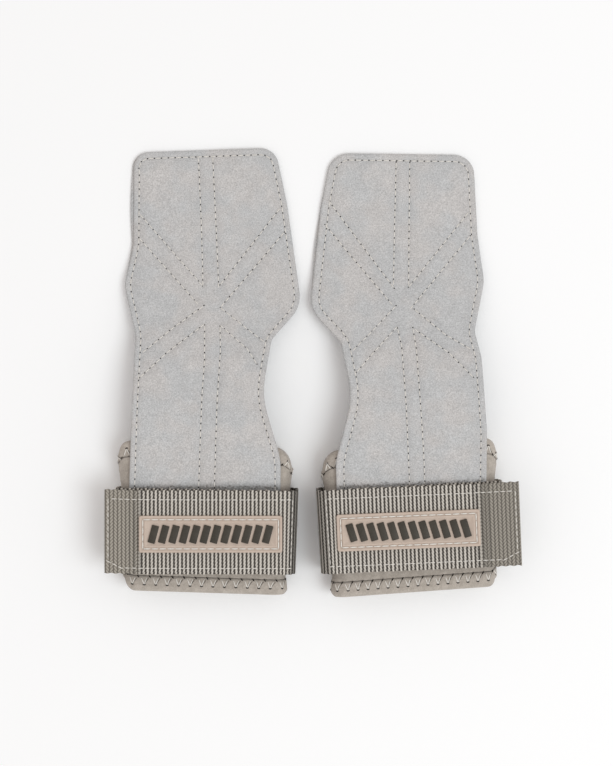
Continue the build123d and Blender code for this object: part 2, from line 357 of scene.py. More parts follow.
# ---- materials ---------------------------------------------------------------------------
def linear(code):
    """An sRGB hex colour as linear red, green, blue and alpha."""
    parts = [int(code[i:i + 2], 16) / 255 for i in (1, 3, 5)]
    return [c / 12.92 if c <= 0.04045 else ((c + 0.055) / 1.055) ** 2.4 for c in parts] + [1.0]


def add_node(tree, kind, sockets=(), **settings):
    """Add a node, set its properties, and give its sockets values or links."""
    made = tree.nodes.new("ShaderNode" + kind)
    for key, value in settings.items():
        setattr(made, key, value)
    for key, value in dict(sockets).items():
        if isinstance(value, bpy.types.Node):
            value = next(s for s in value.outputs if s.enabled)
        if isinstance(value, bpy.types.NodeSocket):
            tree.links.new(value, made.inputs[key])
        else:
            made.inputs[key].default_value = value
    return made


def new_material(name):
    material = bpy.data.materials.new(name)
    material.use_nodes = True
    material.node_tree.nodes.clear()
    return material, material.node_tree


def object_mm(tree):
    """Object coordinates in millimetres."""
    place = add_node(tree, "TexCoord")
    return add_node(tree, "Mapping", {"Vector": place.outputs["Object"],
                                      "Scale": (1000, 1000, 1000)})


def calc(tree, operation, *values, **settings):
    """An arithmetic node on numbers or other nodes."""
    return add_node(tree, "Math", dict(enumerate(values)), operation=operation, **settings)


def spread(tree, value, low, high, to_low, to_high):
    return add_node(tree, "MapRange", {"Value": value, "From Min": low, "From Max": high,
                                       "To Min": to_low, "To Max": to_high})


def suede():
    """Split suede, buffed: a matt nap, brushed lighter and darker, with a fine speckled grain."""
    material, tree = new_material("split_suede_buffed")
    at = object_mm(tree)
    clouds = add_node(tree, "TexNoise", {"Vector": at, "Scale": 0.055, "Detail": 3.0})
    brushed = add_node(tree, "TexNoise", {"Vector": at, "Scale": 0.12, "Detail": 2.0,
                                          "Distortion": 0.6})
    mottle = add_node(tree, "TexNoise", {"Vector": at, "Scale": 0.5, "Detail": 3.0,
                                         "Roughness": 0.6})
    grain = add_node(tree, "TexNoise", {"Vector": at, "Scale": 1.25, "Detail": 2.0,
                                        "Roughness": 0.8})
    tint = add_node(tree, "ValToRGB", {"Fac": clouds.outputs["Fac"]})
    tint.color_ramp.elements[0].position, tint.color_ramp.elements[1].position = 0.4, 0.6
    tint.color_ramp.elements[0].color = linear("#BFBFBF")
    tint.color_ramp.elements[1].color = linear("#C4C1BF")
    tone = calc(tree, "MULTIPLY", spread(tree, brushed.outputs["Fac"], 0.3, 0.7, 0.96, 1.04),
                spread(tree, mottle.outputs["Fac"], 0.25, 0.75, 0.96, 1.04))
    tone = calc(tree, "MULTIPLY", tone, spread(tree, grain.outputs["Fac"], 0.25, 0.75, 0.7, 1.3))
    # painted light and shade, read from each piece's shade attribute, scales the suede's colour
    painted_shading = add_node(tree, "Attribute", attribute_name="shade")
    tone = calc(tree, "MULTIPLY", tone, painted_shading.outputs["Fac"])
    colour = add_node(tree, "VectorMath", {0: tint.outputs["Color"], "Scale": tone.outputs[0]},
                      operation="SCALE")
    bump = add_node(tree, "Bump", {"Height": grain.outputs["Fac"], "Strength": 0.5,
                                   "Distance": 0.00025})
    shader = add_node(tree, "BsdfPrincipled", {
        "Base Color": colour.outputs["Vector"], "Roughness": 0.95, "Specular IOR Level": 0.2,
        "Sheen Weight": 0.12, "Sheen Roughness": 0.6, "Normal": bump.outputs[0]})
    add_node(tree, "OutputMaterial", {"Surface": shader.outputs[0]})
    return material


def webbing():
    """Polypropylene webbing, coarsely woven: ribs of pale yarn floats over dark gaps."""
    material, tree = new_material("polypropylene_webbing_woven")
    place = add_node(tree, "UVMap", uv_map="weave")
    parts = add_node(tree, "SeparateXYZ", {0: place.outputs[0]})
    twill = add_node(tree, "Attribute", attribute_name="twill").outputs["Fac"]
    ribs = calc(tree, "DIVIDE", parts.outputs[0], RIB_PITCH)
    column = calc(tree, "FLOOR", ribs)
    p = calc(tree, "SUBTRACT", calc(tree, "SUBTRACT", ribs, column), 0.5)
    odd = calc(tree, "FLOORED_MODULO", column, 2.0)
    # the slant of the floats: slight on the plain ribs, steep and alternating on the end
    steep = calc(tree, "MULTIPLY_ADD", odd, 2.4, -1.2)
    slant = add_node(tree, "Mix", {"Factor": twill, "A": 1.5, "B": steep})
    picks = calc(tree, "MULTIPLY_ADD", odd, 0.5, calc(tree, "DIVIDE", parts.outputs[1],
                                                      PICK_PITCH))
    q = calc(tree, "SUBTRACT", calc(tree, "FRACT", calc(tree, "MULTIPLY_ADD", p, slant, picks)),
             0.5)
    half = add_node(tree, "Mix", {"Factor": twill, "A": 0.33, "B": 0.46})
    length = calc(tree, "MULTIPLY_ADD", odd, -0.12, 0.68)
    length = add_node(tree, "Mix", {"Factor": twill, "A": length, "B": 0.5})
    far = calc(tree, "ADD", calc(tree, "POWER", calc(tree, "DIVIDE", p, half), 2.0),
               calc(tree, "POWER", calc(tree, "DIVIDE", q, length), 2.0))
    share = spread(tree, far, 1.25, 0.3, 0.0, 1.0)
    # in the gaps the weft shows as faint slanting lines
    weft = calc(tree, "PINGPONG", calc(tree, "MULTIPLY_ADD", p, 1.3, picks), 0.5)
    gap = add_node(tree, "MixRGB", {"Fac": spread(tree, weft, 0.3, 0.5, 0.0, 1.0),
                                    "Color1": linear("#2E2822"), "Color2": linear("#5E574E")})
    gap = add_node(tree, "MixRGB", {"Fac": twill, "Color1": gap.outputs[0],
                                    "Color2": linear("#5F5950")})
    fibre = add_node(tree, "TexNoise", {"Vector": object_mm(tree), "Scale": 2.2, "Detail": 2.0})
    yarn = add_node(tree, "MixRGB", {"Fac": fibre.outputs["Fac"], "Color1": linear("#AAA298"),
                                     "Color2": linear("#F0EAE0")})
    dull = add_node(tree, "MixRGB", {"Fac": twill, "Color1": yarn.outputs[0],
                                     "Color2": linear("#A8A196")})
    colour = add_node(tree, "MixRGB", {"Fac": share, "Color1": gap.outputs[0],
                                       "Color2": dull.outputs[0]})
    # painted shade, read from each piece's shade attribute, scales the webbing's colour
    painted_shading = add_node(tree, "Attribute", attribute_name="shade")
    shaded = add_node(tree, "VectorMath", {0: colour.outputs[0], "Scale": painted_shading.outputs["Fac"]},
                      operation="SCALE")
    shader = add_node(tree, "BsdfPrincipled", {
        "Base Color": shaded.outputs["Vector"], "Roughness": 0.62, "Specular IOR Level": 0.4})
    add_node(tree, "OutputMaterial", {"Surface": shader.outputs[0]})
    return material


def cloth(name, dark, pale, coarse, fine, roughness=0.9, sheen=0.2, depth=0.0001):
    """Fine knitted, brushed or moulded stuff: two close shades, clouded, with a bumpy grain."""
    material, tree = new_material(name)
    at = object_mm(tree)
    clouds = add_node(tree, "TexNoise", {"Vector": at, "Scale": coarse, "Detail": 4.0,
                                         "Roughness": 0.6})
    grain = add_node(tree, "TexNoise", {"Vector": at, "Scale": fine, "Detail": 2.0})
    share = spread(tree, calc(tree, "ADD", clouds.outputs["Fac"], grain.outputs["Fac"]),
                   0.7, 1.3, 0.0, 1.0)
    colour = add_node(tree, "MixRGB", {"Fac": share, "Color1": linear(dark),
                                       "Color2": linear(pale)})
    bump = add_node(tree, "Bump", {"Height": grain.outputs["Fac"], "Strength": 0.4,
                                   "Distance": depth})
    shader = add_node(tree, "BsdfPrincipled", {
        "Base Color": colour.outputs[0], "Roughness": roughness, "Specular IOR Level": 0.25,
        "Sheen Weight": sheen, "Normal": bump.outputs[0]})
    add_node(tree, "OutputMaterial", {"Surface": shader.outputs[0]})
    return material


SUEDE_FINISH = suede()
WEBBING_FINISH = webbing()
MICROFIBRE = cloth("microfibre_knitted", "#A1988E", "#C0B7AD", 0.25, 1.3, depth=0.0002)
LINING = cloth("lining_brushed_knit", "#8E867E", "#A79F96", 0.3, 1.6, 0.95, 0.3)
FOAM = cloth("foam_closed_cell", "#2E2C2A", "#3C3A37", 0.9, 3.0, 0.95, 0.0)
BACKING = cloth("backing_stiff_woven", "#4A4845", "#5A5854", 0.9, 3.0, 0.95, 0.0)
PILE = cloth("loop_pile_brushed", "#6E675F", "#8C857C", 0.8, 1.8, 1.0, 0.4, 0.0004)
HOOKS = cloth("hooks_moulded_nylon", "#6A645C", "#7B756C", 0.8, 2.2, 0.5, 0.0, 0.0003)
THREAD = cloth("thread_bonded_polyester", "#D6D1CA", "#EFEBE4", 0.6, 3.0, 0.55, 0.1)
# grey thread, also used for the dark hem diagonals and edge fibres, which partly stand for painted
# shade
GREY_THREAD_AND_SHADE = cloth("grey_thread_and_painted_shade", "#5B554E", "#7A736B", 0.6, 3.0, 0.6, 0.1)
HOLE = cloth("needle_hole_shadow", "#2B2724", "#3A3531", 0.6, 3.0, 1.0, 0.0)
RUBBER = cloth("soft_rubber_moulded", "#C1AFA1", "#CBBAAC", 0.15, 1.5, 0.6, 0.0)
RUBBER_DARK = cloth("soft_rubber_moulded_dark", "#3A362F", "#47423A", 0.15, 1.5, 0.5, 0.0)


# ---- palm flap ---------------------------------------------------------------------------
def flap_sheet(grip, columns, rows):
    """The flap's plan as a grid that follows both sides and rounds the two far corners."""
    bm, across, along = grid(columns, rows)
    edge = grip.edge
    # the far edge is shared out between the two sides at its middle
    far = [i for i in range(len(edge) - 1) if edge[i, 0] <= FLAP_MIDDLE_X < edge[i + 1, 0]][0]
    share = (FLAP_MIDDLE_X - edge[far, 0]) / (edge[far + 1, 0] - edge[far, 0])
    middle = edge[far] + share * (edge[far + 1] - edge[far])
    outer = np.vstack((edge[:far + 1], middle))
    thumb = np.vstack((middle, edge[far + 1:]))[::-1]
    sides = []
    for line in (outer, thumb):
        keep = np.concatenate(([True], np.diff(np.maximum.accumulate(line[:, 1])) > 0))
        sides.append((line[keep, 1], line[keep, 0]))
    corner = max(grip.outline[-len(THUMB_SIDE) - 2][2], grip.outline[-len(THUMB_SIDE) - 1][2])
    # rows crowd together towards the far edge, where the corners turn
    bend = 0.9
    late = np.clip((along - bend) / (1 - bend), 0, 1)
    places = []
    for ys, xs in sides:
        flat_end = ys[-1] - corner - 1
        y = np.where(along < bend, FLAP_ROOT_Y + along / bend * (flat_end - FLAP_ROOT_Y),
                     flat_end + (ys[-1] - flat_end) * np.sin(late * math.pi / 2))
        places.append((y, np.interp(y, ys, xs)))
    (y_outer, x_outer), (y_thumb, x_thumb) = places
    return bm, x_outer + (x_thumb - x_outer) * across, y_outer + (y_thumb - y_outer) * across


def bend_flap(grip, piece):
    """Bake a flap piece's placement into its mesh."""
    grip.name("cuff")
    grip.name("flap")
    grip.point(0, FLAP_HINGE_Y - 2.5, FLAP_LOW)
    grip.point(0, FLAP_HINGE_Y + 4.0, FLAP_LOW)
    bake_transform(piece)


def flap(grip):
    """The palm flap: its suede face and back, stitched together over a stiff core."""
    bm, x, y = flap_sheet(grip, 132, 300)
    edge = distance_to(np.stack((x, y), 1), grip.edge)
    place_verts(bm, *lay_flap(grip, x, y), face_height(grip, x, y))
    # painted shade on the face: the strap's shadow on the flap just above it, and darker stitch
    # grooves; the rim along the outer edge is darker too, and a band just inside it a little
    # lighter
    strap_shadow = np.exp(-(np.maximum(y - 26.5, 0) / 2.2) ** 2)
    paint(bm, shade=(1 - 0.08 * np.exp(-(edge / 0.8) ** 2) - 0.2 * quilt_pull(grip, x, y)
                     + 0.02 * np.exp(-((edge - 2.5) / 1.8) ** 2)) * (1 - 0.35 * strap_shadow))
    thicken(bm, [(0, 0, -SUEDE)] * len(x))
    face = finish_piece(grip, bm, "palm_suede", SUEDE_FINISH)
    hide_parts(grip.name("flap_face"))

    bm, x, y = flap_sheet(grip, 80, 180)
    shift, middle, length = grip.back
    peep = shift * np.exp(-((y - middle) / length) ** 2)
    lx, ly = lay_flap(grip, x + peep, y)
    place_verts(bm, lx, ly, flap_rest(ly) + SUEDE + 0.25 + np.maximum(sway(x, y), 0))
    # painted light: the back layer is lightened where it lies in the face layer's shade
    paint(bm, shade=np.full(len(x), 1.04))
    thicken(bm, [(0, 0, -SUEDE)] * len(x))
    back = finish_piece(grip, bm, "backing_suede", SUEDE_FINISH)
    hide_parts(grip.name("flap_back"), grip.name("flap_root"))

    stitches = flap_stitches(grip)
    for piece in (face, back):
        bend_flap(grip, piece)
    grip.name("cuff_cover_microfibre")


def flap_stitches(grip):
    """Lock stitches and their needle holes along the edge line and the quilting."""
    threads, holes = [], []
    for line in [grip.stitch_edge] + grip.quilting:
        places, ways, pitch = along_line(line, STITCH_PITCH)
        for at, kind, lift in ((places, threads, 0.1), (places - ways * pitch / 2, holes, 0.0)):
            ahead = at + ways
            z = face_height(grip, *at.T)
            rise = face_height(grip, *ahead.T) - z
            x, y = lay_flap(grip, *at.T)
            next_x, next_y = lay_flap(grip, *ahead.T)
            kind += [((a, b, c + lift), (d - a, e - b, f), (0, 0, 1))
                     for a, b, c, d, e, f in zip(x, y, z, next_x, next_y, rise)]
    pieces = []
    for part, places, size, material in (
            ("palm_stitches", threads, (3.5, 0.68, 0.5), THREAD),
            ("palm_needle_holes", holes, (0.95, 0.95, 0.3), HOLE)):
        piece = finish_piece(grip, beads(places, *size), part, material)
        bend_flap(grip, piece)
        pieces.append(piece)
    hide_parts(grip.name("flap_thread"))
    return pieces


def strap_edge_fibres(grip):
    """Loose suede fibres that stand up along the strap's edge, coloured dark grey as painted shade
    beside the strap.
    """
    rng = np.random.default_rng(7 if grip.mirrored else 3)
    places = []
    for x in np.arange(-44, 44, 0.33):
        lean = rng.normal(0, 0.5, 2)
        y = 25.6 + abs(rng.normal(0, 1.0))
        places.append(((x + rng.normal(0, 0.3), y, FLAP_LOW + FLAP_THICK + 0.6),
                       (lean[0], 0.5 + lean[1], 0.9), (1, 0, 0)))
    piece = finish_piece(grip, beads(places, 2.0, 0.2, 0.2, 4), "suede_edge_fibres", GREY_THREAD_AND_SHADE)
    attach(piece, grip.name("cuff"))


# ---- strap -------------------------------------------------------------------------------
def weave(a, b, twill):
    """Height of the yarn floats at places on the webbing: 1 on a crown, 0 in the gaps."""
    column = np.floor(a / RIB_PITCH)
    p = a / RIB_PITCH - column - 0.5
    odd = np.mod(column, 2)
    slant = 1.5 * (1 - twill) + (2.4 * odd - 1.2) * twill
    q = np.mod(b / PICK_PITCH + 0.5 * odd + slant * p, 1) - 0.5
    half = 0.33 + 0.13 * twill
    length = (0.68 - 0.12 * odd) * (1 - twill) + 0.5 * twill
    return np.sqrt(np.clip(1 - (p / (half * 1.25)) ** 2 - (q / length) ** 2, 0, 1))


def ease(value, low, high):
    share = np.clip((value - low) / (high - low), 0, 1)
    return share * share * (3 - 2 * share)


def strap_route(grip):
    """The strap's centre line in the X-Z plane: its fixed turn, then the front run to its end."""
    half = WEB_THICK / 2
    thumb = STRAP_THUMB_X + grip.slack
    return rounded([(INNER_RUN_START_X, INNER_RUN_LOW + half),
                    (STRAP_OUTER_X, INNER_RUN_LOW + half, 5.0), (STRAP_OUTER_X, half, 8.0),
                    (thumb, half, 8.0), (thumb, STRAP_LOW + half, STRAP_BEND),
                    (grip.tail_end, STRAP_LOW + half)], 0.5)


def webbing_strip(grip, name, start, end, step, front):
    """A length of webbing that follows the strap's route, from distance start to end."""
    route = strap_route(grip)
    reach = reach_along(route)
    bm, across, along = grid(max(2, int((end - start) / step)), int(WEB_WIDTH / step))
    a = start + across * (end - start)
    b = (along - 0.5) * WEB_WIDTH
    x, z = np.interp(a, reach, route[:, 0]), np.interp(a, reach, route[:, 1])
    ahead_x = np.interp(a + 0.2, reach, route[:, 0]) - np.interp(a - 0.2, reach, route[:, 0])
    ahead_z = np.interp(a + 0.2, reach, route[:, 1]) - np.interp(a - 0.2, reach, route[:, 1])
    size = np.hypot(ahead_x, ahead_z)
    out_x, out_z = ahead_z / size, -ahead_x / size
    tail = ease(-x, 37.0, 42.0) * front
    lift = WEB_THICK / 2 - FLOAT_RELIEF * (1 - weave(a, b, tail))
    # the selvedge bulges a little at each pick, and the strap is not laid dead straight
    wave = 0.25 * np.sin(b / WEB_WIDTH * math.pi) * np.sin(2 * math.pi * a / RIB_PITCH / 2)
    if front:
        shift = grip.tail_lift * ease(-x, 34.0, 62.0) - 0.4 * ease(x, 30.0, 52.0)
    else:
        shift = grip.wrap_lift * ease(-x, -30.0, 46.0)
    lean = (grip.fold_lean[0] + grip.fold_lean[1] * b) * ease(x, 44.0, 55.0)
    uv = bm.loops.layers.uv.new("weave")
    places = zip(x + out_x * lift + lean, b + shift + wave, z + out_z * lift)
    for vert, place, pair in zip(bm.verts, places, zip(a, b)):
        vert.co = place
        for loop in vert.link_loops:
            loop[uv].uv = pair
    # painted shade over the thumb fold, where the strap curves down out of the light
    fold = grip.fold_tone * ease(x, 49.5, 53.0)
    # painted shade in lines where the strap bends as it leaves the cuff and its ribs close up
    lines = 0.35 * ease(-x, 34.5, 36.5) * ease(x, -46.5, -44.0) * front
    tone = (1 - fold) * (1 - lines * (0.5 + 0.5 * np.sin(2 * math.pi * a / 3.6)))
    # painted shade darkens the free end, on the right grip only
    paint(bm, twill=tail, shade=tone * (1 + (grip.tail_tone - 1) * tail))
    depth = lift + WEB_THICK / 2
    thicken(bm, np.stack((-out_x * depth, np.zeros(len(a)), -out_z * depth), 1))
    return finish_piece(grip, bm, name, WEBBING_FINISH)


def strap(grip):
    """The strap in three lengths: its fixed turn, the front run and the free end."""
    total = reach_along(strap_route(grip))[-1]
    split = total - (STRAP_SPLIT_X - grip.tail_end)
    fold = total - (STRAP_HINGE_X - grip.tail_end) - FRONT_RUN_LEAD - grip.slack
    wrap = webbing_strip(grip, "strap_wrap_webbing", 0, fold, 0.85, 0)
    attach(wrap, grip.name("cuff"))
    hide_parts(grip.name("strap_wrap"))
    run = webbing_strip(grip, "strap_front_webbing", fold, split, 0.4, 1)
    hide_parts(grip.name("strap_front"))
    hinge_strap(grip, run)
    tail = webbing_strip(grip, "strap_tail_webbing", split, total, 0.4, 1)
    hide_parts(grip.name("strap_tail"))
    hinge_tail(grip, tail)


def hinge_strap(grip, piece):
    """Bake a piece of the front run's placement into its mesh."""
    grip.name("cuff")
    grip.name("strap")
    grip.point(STRAP_HINGE_X + 3.0, 0, STRAP_HIGH)
    grip.point(STRAP_HINGE_X - 2.4, 0, STRAP_HIGH)
    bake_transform(piece)


def hinge_tail(grip, piece):
    """Bake a piece of the free end's placement into its mesh."""
    grip.name("strap")
    grip.name("tail")
    grip.point(TAIL_HINGE_X + 1.5, 0, STRAP_HIGH)
    grip.point(TAIL_HINGE_X - 3.5, 0, STRAP_HIGH)
    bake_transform(piece)


def strap_stitches(grip):
    """The box of stitching that holds the hook tape under the strap's free end."""
    low, high, thumb, end = grip.box
    lift = grip.tail_lift
    line = [(STRAP_SPLIT_X, high), (thumb, high), (thumb - 1.3, low), (STRAP_SPLIT_X, low)]
    tail_line = [(STRAP_SPLIT_X, low), (-40.0, low + 0.2), (end + 7.8, low + lift - 0.3),
                 (end, low + 3.6 + lift), (end, high - 1.5 + lift), (end + 2.0, high + lift),
                 (-40.0, high + 0.2), (STRAP_SPLIT_X, high)]
    for part, path, hinge in (("strap_box_stitches", line, hinge_strap),
                              ("tail_box_stitches", tail_line, hinge_tail)):
        places, ways, _ = along_line(path, 4.0)
        made = [((x, y, strap_top(x, grip) + 0.02), (*way, 0), (0, 0, 1))
                for (x, y), way in zip(places, ways)]
        piece = finish_piece(grip, beads(made, 3.4, 0.6, 0.5), part, THREAD)
        hinge(grip, piece)


def strap_top(x, grip):
    """Height of the front run's outer face, which rounds down at the thumb side."""
    centre = STRAP_THUMB_X + grip.slack - STRAP_BEND
    return STRAP_HIGH - corner_drop(8.0, 8.0 - (x - centre))


# ---- hook and loop -----------------------------------------------------------------------
def tape(grip, name, x_low, x_high, width, low, high, material, rough):
    """A flat tape with a slightly uneven face."""
    step = 1.0
    bm, across, along = grid(int((x_high - x_low) / step), int(width / step))
    x, y = x_low + across * (x_high - x_low), (along - 0.5) * width
    rng = np.random.default_rng(11)
    inside = (across > 0.01) & (across < 0.99) & (along > 0.01) & (along < 0.99)
    place_verts(bm, x, y, high - rough * rng.random(len(x)) * inside)
    thicken(bm, [(0, 0, -(high - low) + rough)] * len(x))
    return finish_piece(grip, bm, name, material)


def hook_field(grip, name, x_low, x_high):
    """Rows of little moulded hooks that stand down from a hook tape."""
    places = []
    for i, x in enumerate(np.arange(x_low + 1.5, x_high - 1.2, 2.0)):
        for y in np.arange(-HOOK_WIDTH / 2 + 1.5 + (i % 2), HOOK_WIDTH / 2 - 1.2, 2.0):
            places.append(((x, y, HOOK_LOW + 0.3), (0.5, 0, -1), (0, 1, 0)))
    return finish_piece(grip, beads(places, 0.62, 0.5, 0.5, 4), name, HOOKS)


def closures(grip):
    """The loop tape on the fixed turn, and the hook tapes under the front run and free end."""
    loop = tape(grip, "loop_pile", TAIL_HINGE_X, 36.0, LOOP_WIDTH, LOOP_LOW, LOOP_HIGH, PILE, 0.3)
    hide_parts(grip.name("loop_tape"))
    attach(loop, grip.name("cuff"))
    for part, node, body, ends in (
            ("strap_hooks", "hook_tape", "strap", (TAIL_HINGE_X + 1, 36.0)),
            ("tail_hooks", "tail_hook_tape", "tail", (grip.tail_end + 3.0, TAIL_HINGE_X - 1))):
        base = tape(grip, part + "_base", *ends, HOOK_WIDTH, HOOK_LOW + 0.5, STRAP_LOW, HOOKS,
                    0.0)
        field = hook_field(grip, part, *ends)
        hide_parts(grip.name(node))
        for piece in (base, field):
            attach(piece, grip.name(body))


# ---- label -------------------------------------------------------------------------------
def label(grip):
    """Moulded patch: a rim, a sunk channel with stitches in it, and a raised field with ribs."""
    cx, cy = LABEL_CENTRE
    top = STRAP_HIGH + LABEL_THICK
    # loops from the underside round to the middle field: (inset, height, corner rounding)
    steps = [(0.0, STRAP_HIGH - 0.1, 1.3), (0.0, top - 0.3, 1.3), (0.1, top - 0.1, 1.2),
             (0.35, top, 1.0), (1.25, top, 0.5), (1.5, top - 0.12, 0.4), (1.6, top - 0.5, 0.4),
             (3.0, top - 0.5, 0.3), (3.1, top - 0.12, 0.3), (3.3, top, 0.3), (4.0, top, 0.2),
             (4.3, top - 0.25, 0.2), (8.0, top - 0.25, 0.2)]
    each = 10
    columns, rows = 4 * each, len(steps) - 1
    bm, across, along = grid(columns, rows)
    for vert, column, row in zip(bm.verts, np.rint(across * columns), np.rint(along * rows)):
        inset, z, radius = steps[int(row)]
        corner, turn = divmod(int(column) % columns, each)
        angle = (corner + turn / (each - 1)) * math.pi / 2
        sx, sy = ((1, 1), (-1, 1), (-1, -1), (1, -1))[corner]
        vert.co = (cx + sx * (LABEL_LENGTH / 2 - inset - radius) + radius * math.cos(angle),
                   cy + sy * (LABEL_WIDTH / 2 - inset - radius) + radius * math.sin(angle), z)
    bmesh.ops.remove_doubles(bm, verts=bm.verts[:], dist=1e-4)
    bmesh.ops.holes_fill(bm, edges=bm.edges[:], sides=0)
    bmesh.ops.recalc_face_normals(bm, faces=bm.faces[:])
    plate = finish_piece(grip, bm, "label_patch", RUBBER)
    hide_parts(grip.name("label_plate"))

    bm = bmesh.new()
    for k in range(LABEL_RIBS):
        made = bmesh.ops.create_cube(bm, size=1.0)["verts"]
        bmesh.ops.scale(bm, vec=(4.3, 10.8, 1.1), verts=made)
        bmesh.ops.rotate(bm, verts=made, matrix=Matrix.Rotation(math.radians(-15), 3, "Z"))
        bmesh.ops.translate(bm, verts=made, vec=(cx + (k - (LABEL_RIBS - 1) / 2) * 6.2, cy,
                                                 top + 0.1))
    bmesh.ops.bevel(bm, geom=bm.edges[:], offset=0.35, segments=2, profile=0.5,
                    affect="EDGES", material=-1)
    ribs = finish_piece(grip, bm, "label_raised_ribs", RUBBER_DARK)
    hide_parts(grip.name("label_ribs"))

    inset = 2.3
    half_x, half_y = LABEL_LENGTH / 2 - inset, LABEL_WIDTH / 2 - inset
    ring = [(cx + sx * half_x, cy + sy * half_y) for sx, sy in
            ((-1, -1), (1, -1), (1, 1), (-1, 1), (-1, -1))]
    made = []
    for a, b in zip(ring[:-1], ring[1:]):
        places, ways, _ = along_line([a, b], 4.9)
        made += [((x, y, top - 0.3), (*way, 0), (0, 0, 1))
                 for (x, y), way in zip(places, ways)]
    stitches = finish_piece(grip, beads(made, 4.7, 0.95, 0.7), "label_stitches", THREAD)
    for piece, slot in ((plate, "label"), (ribs, "label_ribs"), (stitches, "thread")):
        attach(piece, grip.name("strap"))


# ---- cuff --------------------------------------------------------------------------------
def cuff_around(count):
    """Places round the cuff's flat oval: share along its flat (-1 to 1) and facing angle."""
    flat, arc = CUFF_FLAT, math.pi * CUFF_RADIUS
    places = []
    for d in np.arange(count) / count * 2 * (flat + arc):
        if d < flat:
            places.append((1 - 2 * d / flat, math.pi / 2))
        elif d < flat + arc:
            places.append((-1, math.pi / 2 + (d - flat) / CUFF_RADIUS))
        elif d < 2 * flat + arc:
            places.append((-1 + 2 * (d - flat - arc) / flat, -math.pi / 2))
        else:
            places.append((1, -math.pi / 2 + (d - 2 * flat - arc) / CUFF_RADIUS))
    return places


def corner_drop(radius, side):
    """How far a rounded corner falls back, at a distance from the side it rounds into."""
    if side >= radius:
        return 0.0
    return radius - math.sqrt(max(radius ** 2 - (radius - max(side, 0.0)) ** 2, 0))


def cuff_point(grip, y, inset, share, facing):
    """A point of the cuff's padded wall, inset from its outer face."""
    part = (y - grip.arm_end) / (grip.finger_end - grip.arm_end)
    half = grip.arm_half + part * (grip.finger_half - grip.arm_half)
    slant = CUFF_ARM_SLANT + part * (CUFF_FINGER_SLANT - CUFF_ARM_SLANT)
    reach = CUFF_RADIUS - inset
    up = math.sin(facing)
    # the padding swells past the strap, except where the flap or the floor holds it
    free = max(0.0, min(1.0, (abs(y) - 25.0) / 9.0))
    swell = 0.0
    if inset < CUFF_WALL / 2:
        swell = free * (0.9 * abs(math.cos(facing)) + (0.3 if up < -0.9 else 0.0))
        swell += free * (0.8 if up > 0.2 and y < -25 else 0.0)
    x = share * (half - CUFF_RADIUS) + math.cos(facing) * (reach + swell)
    side = half - abs(x)
    end = "finger" if part > 0.5 else "arm"
    radius = grip.corners[end][0 if x < 0 else 1]
    near_end = max(0.0, 1 - (1 - part if part > 0.5 else part) * 4.5)
    drop = corner_drop(radius, side) * near_end
    y += drop if end == "arm" else -drop
    return x + grip.cuff_shift, y + x * math.tan(slant), CUFF_MIDDLE + up * (reach + swell)


def cuff_ring(grip, name, section, around, material, wrinkle=0.0):
    """A closed band of the cuff: its section of (y, inset) points swept round the oval."""
    rows, columns = len(section), len(around)
    bm, across, along = grid(columns, rows)
    for vert, column, row in zip(bm.verts, np.rint(across * columns), np.rint(along * rows)):
        share, facing = around[int(column) % columns]
        y, inset = section[int(row) % rows]
        crease = wrinkle * math.sin(share * 31 + y * 0.7) * math.sin(share * 13 - y * 0.35)
        vert.co = cuff_point(grip, y, inset - crease, share, facing)
    bmesh.ops.remove_doubles(bm, verts=bm.verts[:], dist=1e-4)
    bmesh.ops.recalc_face_normals(bm, faces=bm.faces[:])
    return finish_piece(grip, bm, name, material)


def band_section(low, high, outside, inside, count):
    """Closed section of a band between two places along the cuff and two insets."""
    along = [low + (high - low) * k / count for k in range(count + 1)]
    return [(y, outside) for y in along] + [(y, inside) for y in reversed(along)]


def hem_section(end, inner, sign):
    """Section of the binding: outside, round the rim, and back along the inside."""
    radius = CUFF_WALL / 2
    middle = end - sign * radius
    outside = [(inner + (middle - inner) * k / 6, -0.15) for k in range(7)]
    rim = [(middle + sign * math.sin(a) * radius, radius - math.cos(a) * radius)
           for a in np.linspace(0, math.pi, 13)[1:-1]]
    section = outside + rim + [(middle, CUFF_WALL + 0.1), (inner, CUFF_WALL + 0.1),
                               (inner, CUFF_WALL - SKIN)]
    section += [(middle + sign * math.sin(a) * (radius - SKIN),
                 radius - math.cos(a) * (radius - SKIN)) for a in np.linspace(math.pi, 0, 9)]
    return section + [(inner, SKIN)]


def cuff(grip):
    """The padded wrist cuff: cover, lining and foam, bound at both open ends."""
    around = cuff_around(200)
    low, high = grip.arm_end + HEM, grip.finger_end - HEM
    parts = (
        ("cuff_cover_microfibre", "cuff_cover", "cuff_fabric", MICROFIBRE,
         band_section(low, high, 0.0, SKIN, 60), 0.12),
        ("cuff_lining_knit", "cuff_lining", "lining", LINING,
         band_section(low, high, CUFF_WALL - SKIN, CUFF_WALL, 20), 0.05),
        ("cuff_pad_foam", "cuff_foam", "foam", FOAM,
         band_section(grip.arm_end + 2.4, grip.finger_end - 2.4, SKIN + 0.1,
                      CUFF_WALL - SKIN - 0.1, 16), 0.0),
        ("finger_hem_binding", "cuff_finger_hem", "cuff_fabric", MICROFIBRE,
         hem_section(grip.finger_end, high, 1), 0.0),
        ("arm_hem_binding", "cuff_arm_hem", "cuff_fabric", MICROFIBRE,
         hem_section(grip.arm_end, low, -1), 0.0))
    for name, node, slot, material, section, wrinkle in parts:
        piece = cuff_ring(grip, name, section, around, material, wrinkle)
        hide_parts(grip.name(node))
        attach(piece, grip.name("cuff"))


